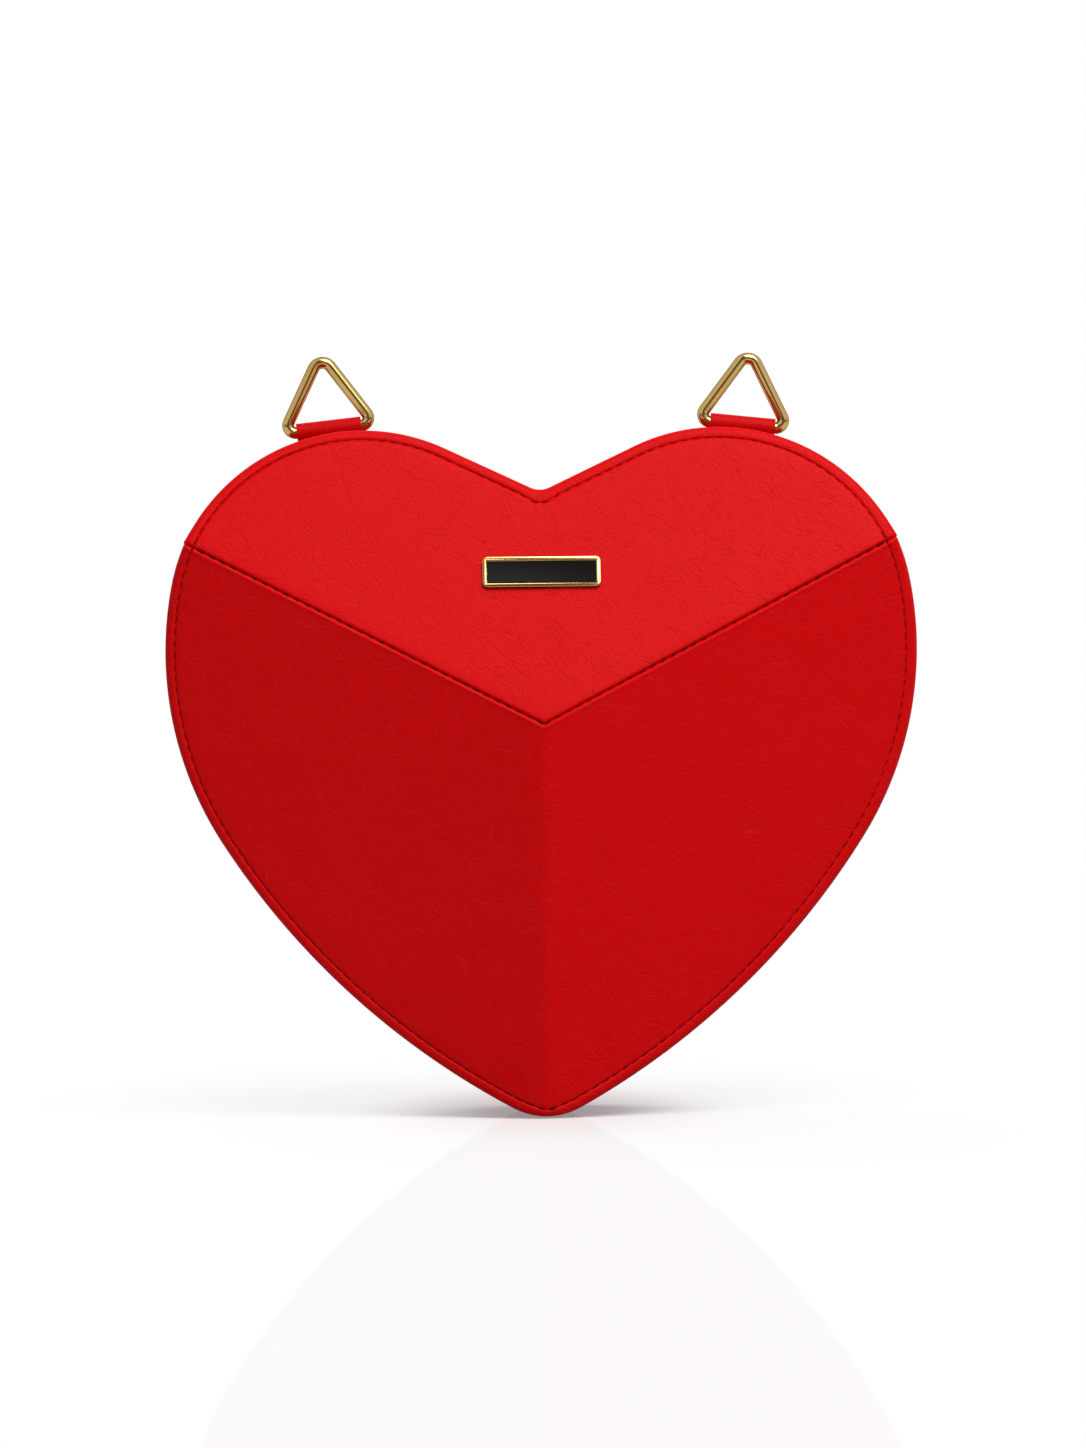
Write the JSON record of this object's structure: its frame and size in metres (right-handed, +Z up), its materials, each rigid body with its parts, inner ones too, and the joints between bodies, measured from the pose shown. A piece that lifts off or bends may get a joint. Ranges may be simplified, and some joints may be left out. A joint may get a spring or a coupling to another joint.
{
  "type": "heart shaped purse",
  "caption": "Heart shaped shoulder purse with a three facet leather front, a zip round the side that lets the front swing open, and triangular strap rings.",
  "frame": {"origin": "midway between the bars of the two strap rings, where a strap carries the purse", "axes": "+Z up from the tip to the rings, +X to the right seen from the front, +Y from the faceted front to the flat back"},
  "size_m": [0.2132, 0.08, 0.2173],
  "materials": {
    "panel_leather": "smooth grained red leather, soft sheen",
    "gusset_leather": "smooth grained red leather, soft sheen",
    "stiff_board": "grey brown pressed fibre board",
    "lining_fabric": "fine woven dark red lining",
    "zipper_tape": "woven red zipper tape",
    "zipper_brass": "polished antique brass",
    "ring_brass": "polished antique brass wire",
    "badge_brass": "brass rim round a blackened field",
    "washer_steel": "plain steel"
  },
  "bodies": {
    "back_half": {"back_panel": "panel_leather", "back_board": "stiff_board", "back_lining": "lining_fabric", "slip_pocket": "lining_fabric", "back_gusset": "gusset_leather", "back_gusset_lining": "lining_fabric", "back_zipper_tape": "zipper_tape", "back_zipper_teeth": "zipper_brass", "left_zipper_stop": "zipper_brass", "right_zipper_stop": "zipper_brass", "base_gusset": "gusset_leather", "base_lining": "lining_fabric", "left_ring_tab": "gusset_leather", "right_ring_tab": "gusset_leather"},
    "front_half": {"front_upper_panel": "panel_leather", "front_lower_panel": "panel_leather", "front_upper_board": "stiff_board", "front_left_board": "stiff_board", "front_right_board": "stiff_board", "front_lining": "lining_fabric", "front_gusset": "gusset_leather", "front_gusset_lining": "lining_fabric", "front_zipper_tape": "zipper_tape", "front_zipper_teeth": "zipper_brass", "badge_plate": "badge_brass", "badge_washer": "washer_steel"},
    "left_ring": {"left_ring": "ring_brass"},
    "right_ring": {"right_ring": "ring_brass"},
    "upper_slider": {"upper_slider": "zipper_brass"},
    "upper_pull": {"upper_pull": "zipper_brass"},
    "lower_slider": {"lower_slider": "zipper_brass"},
    "lower_pull": {"lower_pull": "zipper_brass"}
  },
  "joints": [
    {"name": "front_open", "type": "hinge", "parent": "back_half", "child": "front_half", "pos_m": [0, -0.0209, -0.18629], "axis": [1, 0, 0], "range_deg": [0, 50], "deforming": ["base_gusset", "base_lining"]},
    {"name": "left_ring_swing", "type": "hinge", "parent": "back_half", "child": "left_ring", "pos_m": [-0.06001, 0, 0], "axis": [0.9945, 0, 0.1045], "range_deg": [-85, 85]},
    {"name": "right_ring_swing", "type": "hinge", "parent": "back_half", "child": "right_ring", "pos_m": [0.06001, 0, 0], "axis": [0.9945, 0, -0.1045], "range_deg": [-85, 85]},
    {"name": "upper_slider_run", "type": "hinge", "parent": "back_half", "child": "upper_slider", "pos_m": [0.0503, -0.0209, -0.05738], "axis": [0, -1, 0], "range_deg": [0, 85]},
    {"name": "upper_pull_swing", "type": "hinge", "parent": "upper_slider", "child": "upper_pull", "pos_m": [0.09983, -0.0209, -0.03551], "axis": [0, 1, 0], "range_deg": [0, 95]},
    {"name": "lower_slider_run", "type": "hinge", "parent": "back_half", "child": "lower_slider", "pos_m": [0.00804, -0.0209, -0.06637], "axis": [0, 1, 0], "range_deg": [0, 31]},
    {"name": "lower_pull_swing", "type": "hinge", "parent": "lower_slider", "child": "lower_pull", "pos_m": [0.10497, -0.0209, -0.05754], "axis": [0, -1, 0], "range_deg": [0, 95]}
  ]
}
